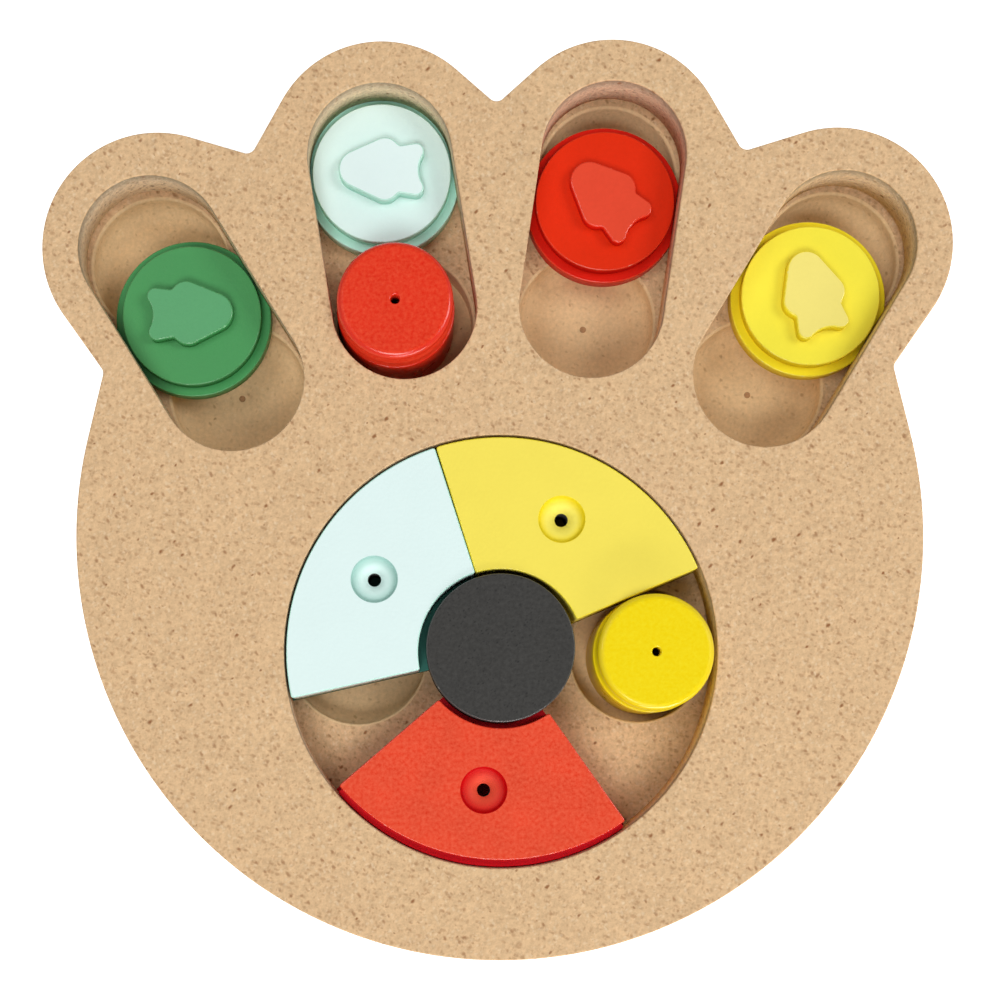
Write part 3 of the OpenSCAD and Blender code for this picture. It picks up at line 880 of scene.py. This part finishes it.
# %% Fish knobs
NOSE = (7.89, 0.0, 6.36)
SHOULDER = (-1.14, 5.41, 5.19)
WAIST = (-6.4, 9.2, -1.2)
LOBE = (-11.49, 6.04, 2.76)
TAIL = (-21.58, 0.0, -9.0)
FISH_TOP = 23.7
FISH_EASE = 0.5


def flipped(x, y, r):
    """The same round on the fish's other flank"""
    return x, -y, r


def turn_flat(bm, degrees):
    """Turns a drawing about the middle of its sheet"""
    matrix = Matrix.Rotation(math.radians(degrees), 3, "Z")
    bmesh.ops.rotate(bm, cent=(0, 0, 0), matrix=matrix, verts=bm.verts)


upper = [SHOULDER, WAIST, LOBE]
fish = chain([NOSE] + upper + [TAIL] + [flipped(*r) for r in reversed(upper)])
for colour, slot in SLOTS.items():
    bm = bmesh.new()
    wall(bm, fish, eased(FISH_EASE, FISH_TOP, 1) + [(0, CAP_TOP)], SIDE, RIM)
    lid(bm, FISH_TOP)
    lid(bm, CAP_TOP)
    turn_flat(bm, slot["fish"])
    bmesh.ops.translate(bm, vec=(*slot_point(colour, slot["seat"]), 0), verts=bm.verts)
    # The fish's top is painted lighter as a painted sheen, its sides darker as painted shade
    finishes = [fish_sheen_paints[colour], rim_highlight_and_shade_paints[colour], shaded_shoe_paints[colour]]
    finish_piece(bm, f"{colour}_fish", "rounded", finishes)

# %% [markdown]
# ## Sector outlines
# A sector is a quarter of a ring, less a little play. Its outline is two arcs about the middle of the
# ring and four small corner rounds that touch them, so here the arcs are written down directly. The
# inner arc bites in, so its radius is negative.

# %% Slice of a ring
SECTOR_ANGLE = 84.6
HALF_ANGLE = math.radians(SECTOR_ANGLE / 2)
CORNER = 0.8


def slice_chain(inner, outer):
    """Outline of a ring slice with eased corners, its middle towards +X"""
    far, near = outer - CORNER, inner + CORNER
    far_turn = HALF_ANGLE - math.asin(CORNER / far)
    near_turn = HALF_ANGLE - math.asin(CORNER / near)
    spots = {"far": (far, far_turn), "near": (near, near_turn)}

    def corner(which, side, start, stop):
        reach, turn = spots[which]
        return (reach * math.cos(turn), side * reach * math.sin(turn), CORNER, start, (stop - start) % TURN)

    return [
        (0, 0, outer, -far_turn, 2 * far_turn),
        corner("far", 1, far_turn, HALF_ANGLE + QUARTER),
        corner("near", 1, HALF_ANGLE + QUARTER, near_turn + math.pi),
        (0, 0, -inner, near_turn, -2 * near_turn),
        corner("near", -1, math.pi - near_turn, -HALF_ANGLE - QUARTER),
        corner("far", -1, -HALF_ANGLE - QUARTER, -far_turn),
    ]


def set_in_ring(bm, turn, shift):
    """Moves a slice from the middle of the drawing to its place in the recess"""
    bmesh.ops.translate(bm, vec=(-shift, 0, 0), verts=bm.verts)
    turn_flat(bm, turn)
    bmesh.ops.translate(bm, vec=(*RECESS, 0), verts=bm.verts)


print("sector angle:", SECTOR_ANGLE)

# %% [markdown]
# ## Sectors: plates
# The plate reaches from the wall of the recess nearly to the hub, and has a dished finger hole: steep at
# its rim, as a round-nosed cutter leaves it, and nearly level round the claw hole, which is bored
# through. The wall of the claw hole is charcoal, as painted shade down the hole. The dish is turned
# while the slice still lies in the middle of the drawing.

# %% Sector plates
DISH, SHADED_BORE = 2, 3
PLATE = (27.2, 70.6)
PLATE_EASE = 0.4
DISH_DEPTH = 1.5
DISH_EASE = 0.3
DISH_FLAT_R = 5.9
DISH_SLOPE = 0.6
DISH_STEPS = 8
DISH_TOP = BOARD_TOP - DISH_EASE
CLAW_HOLE_R = 2.2

dish_profile = [(DISH_R + DISH_EASE, BOARD_TOP)]
for a in quarter_turn(DISH_STEPS):
    reach = DISH_FLAT_R + (DISH_R - DISH_FLAT_R) * math.cos(a)
    dish_profile.append((reach, DISH_TOP - DISH_DEPTH * math.sin(a)))
dish_profile.append((CLAW_HOLE_R, DISH_TOP - DISH_DEPTH - DISH_SLOPE))


def sector_plate(colour, turn, shift):
    """Makes the plate of one sector"""
    bm = bmesh.new()
    wall(bm, slice_chain(*PLATE), eased(PLATE_EASE, BOARD_TOP, 1) + [(0, SHOE_TOP)], rim=RIM)
    lathe(bm, dish_profile, (RING_R, 0), finish=DISH)
    # Painted shade: the claw hole's wall takes the charcoal finish
    lathe(bm, [dish_profile[-1], (CLAW_HOLE_R, SHOE_TOP)], (RING_R, 0), finish=SHADED_BORE)
    lid(bm, BOARD_TOP)
    lid(bm, SHOE_TOP)
    set_in_ring(bm, turn, shift)
    finishes = [sector_paints[colour], rim_highlight_and_shade_paints[colour], dish_shaded_paints[colour], charcoal]
    finish_piece(bm, f"{colour}_sector_top", "dished", finishes)


print("dish depth at the claw hole:", round(BOARD_TOP - dish_profile[-1][1], 2), "mm")

# %% [markdown]
# ## Sectors: runners
# The runner is wider than its plate, so the lips hold it down. The red sector sits a little nearer the
# hub, and a raised rim on its runner, which follows the recess, fills the gap behind its plate. Each
# sector is then made as it would be glued up, its plate and its runner together.

# %% Sector runners
RUNNER = (23.0, 73.7)
RUNNER_EASE = 0.3
RAISED_RIM = (68.4, 71.1)
RIM_TOP = 26.5


def runner_layer(radii, bottom, top):
    """One layer of a runner, in the middle of the drawing"""
    bm = bmesh.new()
    wall(bm, slice_chain(*radii), eased(RUNNER_EASE, top, 1) + [(0, bottom)])
    lid(bm, top)
    lid(bm, bottom)
    return bm


def sector_runner(colour, turn, shift):
    """Makes the runner of one sector, with a raised rim where the plate is set inwards"""
    bm = runner_layer(RUNNER, SHOE_BOTTOM, SHOE_TOP)
    set_in_ring(bm, turn, shift)
    if shift > 0:
        band = runner_layer(RAISED_RIM, SHOE_TOP, RIM_TOP)
        set_in_ring(band, turn, 0)
        join(bm, band)
    finish_piece(bm, f"{colour}_sector_runner", "sawn", [runner_paints_and_shade[colour]])


for colour, (turn, shift) in SECTORS.items():
    sector_plate(colour, turn, shift)
    sector_runner(colour, turn, shift)

# %% [markdown]
# ## Hub
# The hub is a thick charcoal disc on a narrower spacer, screwed on from below. It overhangs the
# runners' inner edges, so the sectors can slide round it but not lift out.

# %% Hub cap and spacer
HUB_TOP = 31.0
HUB_EASE = 0.7
SPACER_R = 20.0
PILOT_R = 2.0
PILOT_TOP = 26.0

bm = bmesh.new()
edge = [(HUB_R + grow, z) for grow, z in eased(HUB_EASE, HUB_TOP, 1)]
under = [(HUB_R, LIP), (PILOT_R, LIP), (PILOT_R, PILOT_TOP), (0, PILOT_TOP)]
lathe(bm, [(0, HUB_TOP)] + edge + under, HUB, rim=RIM)
finish_piece(bm, "hub_cap", "turned", [charcoal, rim_highlight_and_shade_paints["charcoal"]])
bm = bmesh.new()
lathe(bm, [(SCREW_R, BASE_TOP), (SPACER_R, BASE_TOP), (SPACER_R, LIP), (SCREW_R, LIP)], HUB, closed=True)
finish_piece(bm, "hub_spacer", "turned", [charcoal])

# %% [markdown]
# ## Screw
# Only the screw's head shows, from below, and its solid has the right shape already. So it keeps its
# own mesh and gets a finish of dull zinc, with faint clouds in its colour and a fine tooth in its
# gloss.

# %% Screw
ZINC_SHEEN = 0.35
ZINC_TOOTH = 0.0006
ZINC_CLOUD = 0.004
ZINC_CLOUDING = 0.08
ZINC_ROUGH_CHANGE = 0.1

steel, tree, shader, where = principled("zinc_steel", ZINC_SHEEN)
shader.inputs["Metallic"].default_value = 1.0
uneven = placed(tree, mottling, {"Vector": where, "Tooth": ZINC_TOOTH, "Cloud": ZINC_CLOUD})
zinc = toned(tree, screen(190, 190, 194), ZINC_CLOUDING, uneven["Broad"])
tree.links.new(zinc, shader.inputs["Base Color"])
roughened(tree, shader, uneven["Fine"], ZINC_ROUGH_CHANGE, ZINC_SHEEN)
screw = frame["nodes"]["hub_screw"]
screw.data.materials.clear()
screw.data.materials.append(steel)
print("screw finish:", steel.name)

# %% [markdown]
# ## Loose plugs
# A plug is an upturned wooden cup that hides a treat. It was turned on a lathe, so it is spun here as
# well, from one closed cross-section: the vent hole, the top with its generous round, a faint step
# where the wider foot begins, and the hollow inside. The plugs don't stand quite in the middle of
# their wells, because they are loose.

# %% Plugs
PLUG_BOTTOM = 3.2
PLUG_TOP = 34.9
PLUG_EASE = 2.2
FOOT_R = 19.6
FOOT_HEIGHT = 21.5
FOOT_TOP = PLUG_BOTTOM + FOOT_HEIGHT
FOOT_EASE = 0.4
STEP = 0.5
CROWN = 6.0
HOLLOW_R = 14.6
HOLLOW_TOP = PLUG_TOP - CROWN
VENT_R = 1.5
VENT_EASE = 0.3
SHORT_OF_END = 1.2
ASIDE = 2.8
OFF_RING = (2.6, -0.7)

red_end = slot_point("mint", SLOT_TRAVEL - SHORT_OF_END)
slant = math.radians(SLOTS["mint"]["slant"])
plug_at = {
    "red": (red_end[0] - ASIDE * math.cos(slant), red_end[1] - ASIDE * math.sin(slant)),
    "yellow": (RECESS[0] + RING_R + OFF_RING[0], RECESS[1] + OFF_RING[1]),
}
profile = [(VENT_R, HOLLOW_TOP), (VENT_R, PLUG_TOP - VENT_EASE), (VENT_R + VENT_EASE, PLUG_TOP)]
profile += [(FOOT_R - STEP + grow, z) for grow, z in eased(PLUG_EASE, PLUG_TOP, 1)]
profile += [(FOOT_R - STEP, FOOT_TOP)]
profile += [(FOOT_R + grow, z) for grow, z in eased(STEP, FOOT_TOP, 1)][1:]
profile += [(FOOT_R, PLUG_BOTTOM + FOOT_EASE), (FOOT_R - FOOT_EASE, PLUG_BOTTOM)]
profile += [(HOLLOW_R, PLUG_BOTTOM), (HOLLOW_R, HOLLOW_TOP)]
for colour, centre in plug_at.items():
    bm = bmesh.new()
    lathe(bm, profile, centre, closed=True, rim=RIM)
    finish_piece(bm, f"{colour}_plug", "turned", [plug_paints[colour], glossy_highlight_paints[colour]])

# %% [markdown]
# ## Floor
# The toy lies on a plain pale floor, a hair below its underside. The floor glows a little, and more for
# the camera than for other rays, so it looks like a white backdrop without flooding the toy with light.
# The Light Path node tells the camera's rays from all others.

# %% Floor
WHITE = (1, 1, 1, 1)
FLOOR_SIZE = 40.0
FLOOR_CELLS = 8
FLOOR_DROP = 0.0002
FLOOR_COLOUR = (0.9, 0.9, 0.9, 1)
FLOOR_ROUGHNESS = 0.9
FLOOR_GLOW = (0.5, 0.82)

mesh = bpy.data.meshes.new("floor")
bm = bmesh.new()
bmesh.ops.create_grid(bm, x_segments=FLOOR_CELLS, y_segments=FLOOR_CELLS, size=FLOOR_SIZE / 2)
bmesh.ops.translate(bm, vec=(0, 0, -FLOOR_DROP), verts=bm.verts)
bm.to_mesh(mesh)
bm.free()
floor = bpy.data.objects.new("floor", mesh)
bpy.context.scene.collection.objects.link(floor)
pale, tree, shader, _ = principled("pale_floor", FLOOR_ROUGHNESS)
shader.inputs["Base Color"].default_value = FLOOR_COLOUR
shader.inputs["Emission Color"].default_value = WHITE
seen = add(tree, "ShaderNodeLightPath").outputs["Is Camera Ray"]
tree.links.new(ranged(tree, seen, 0.0, 1.0, *FLOOR_GLOW), shader.inputs["Emission Strength"])
mesh.materials.append(pale)
print("floor:", FLOOR_SIZE, "m wide")

# %% [markdown]
# ## Sky
# The sky is dim, because even light from all round would leave the wells dark. Only the camera sees it
# bright, as part of the same backdrop.

# %% Sky
SKY_LIGHT = 0.22
BACKDROP = 1.0

world = bpy.data.worlds.new("studio")
world.use_nodes = True
tree = world.node_tree
sky = tree.nodes["Background"]
sky.inputs["Color"].default_value = WHITE
sky.inputs["Strength"].default_value = SKY_LIGHT
backdrop = add(tree, "ShaderNodeBackground", {"Color": WHITE, "Strength": BACKDROP})
seen = add(tree, "ShaderNodeLightPath").outputs["Is Camera Ray"]
both = add(tree, "ShaderNodeMixShader", {0: seen, 1: sky.outputs[0], 2: backdrop.outputs[0]})
tree.links.new(both.outputs[0], tree.nodes["World Output"].inputs["Surface"])
bpy.context.scene.world = world
print("sky:", SKY_LIGHT, "for light,", BACKDROP, "for the camera")

# %% [markdown]
# ## Lamps
# The light is large and soft. A lamp at the right and one at the near side stand high, so that their
# light reaches the floors of the slots. A weaker one at the far left opens the shadows, and a low
# strip at the near side draws the bright lines on the rounded edges. All point at the toy.

# %% Lamps
# Place in metres, width and length in metres, and watts
LAMPS = {
    "key": ((1.4, 0.25, 1.35), (0.8, 0.8), 12.0),
    "far_left": ((-0.75, 0.4, 1.6), (0.8, 0.8), 6.3),
    "near": ((-0.24, -1.76, 2.4), (1.6, 0.96), 35.5),
    "near_strip": ((0.5, -1.6, 0.4), (1.4, 0.15), 10.0),
}

for name, (place, size, watts) in LAMPS.items():
    light = bpy.data.lights.new(name, "AREA")
    light.shape = "RECTANGLE"
    light.size, light.size_y = size
    light.energy = watts
    holder = bpy.data.objects.new(name, light)
    bpy.context.scene.collection.objects.link(holder)
    holder.location = place
    holder.rotation_euler = (-Vector(place)).to_track_quat("-Z", "Y").to_euler()
bpy.context.scene.view_settings.view_transform = "Standard"

# %% [markdown]
# ## Camera
# The picture is taken from straight above, so nothing is foreshortened, but the camera stands over the
# lower part of the ring and not over the middle. The slots then show their far walls. A shifted lens
# frames the whole paw without tilting the camera.

# %% Camera
PICTURE = 1000
PIXELS_PER_MM = 3.04
ABOVE = 450.0
ORIGIN_AT = (499.6, 500.2)
CAMERA_OVER = (430.0, 750.0)
ROLL = math.radians(-0.43)
SENSOR = 36.0
CLIP_START = 0.01

side = (CAMERA_OVER[0] - ORIGIN_AT[0]) / PIXELS_PER_MM
ahead = (ORIGIN_AT[1] - CAMERA_OVER[1]) / PIXELS_PER_MM
lens = bpy.data.cameras.new("camera")
lens.sensor_width = SENSOR
lens.lens = SENSOR * ABOVE / (PICTURE / PIXELS_PER_MM)
lens.shift_x = (PICTURE / 2 - CAMERA_OVER[0]) / PICTURE
lens.shift_y = (CAMERA_OVER[1] - PICTURE / 2) / PICTURE
lens.clip_start = CLIP_START
camera = bpy.data.objects.new("camera", lens)
bpy.context.scene.collection.objects.link(camera)
camera.location = (
    (side * math.cos(ROLL) - ahead * math.sin(ROLL)) * MM,
    (side * math.sin(ROLL) + ahead * math.cos(ROLL)) * MM,
    (BOARD_TOP + ABOVE) * MM,
)
camera.rotation_euler = (0, 0, ROLL)
bpy.context.scene.camera = camera
print("camera at", [round(v, 4) for v in camera.location], "lens", round(lens.lens, 2))
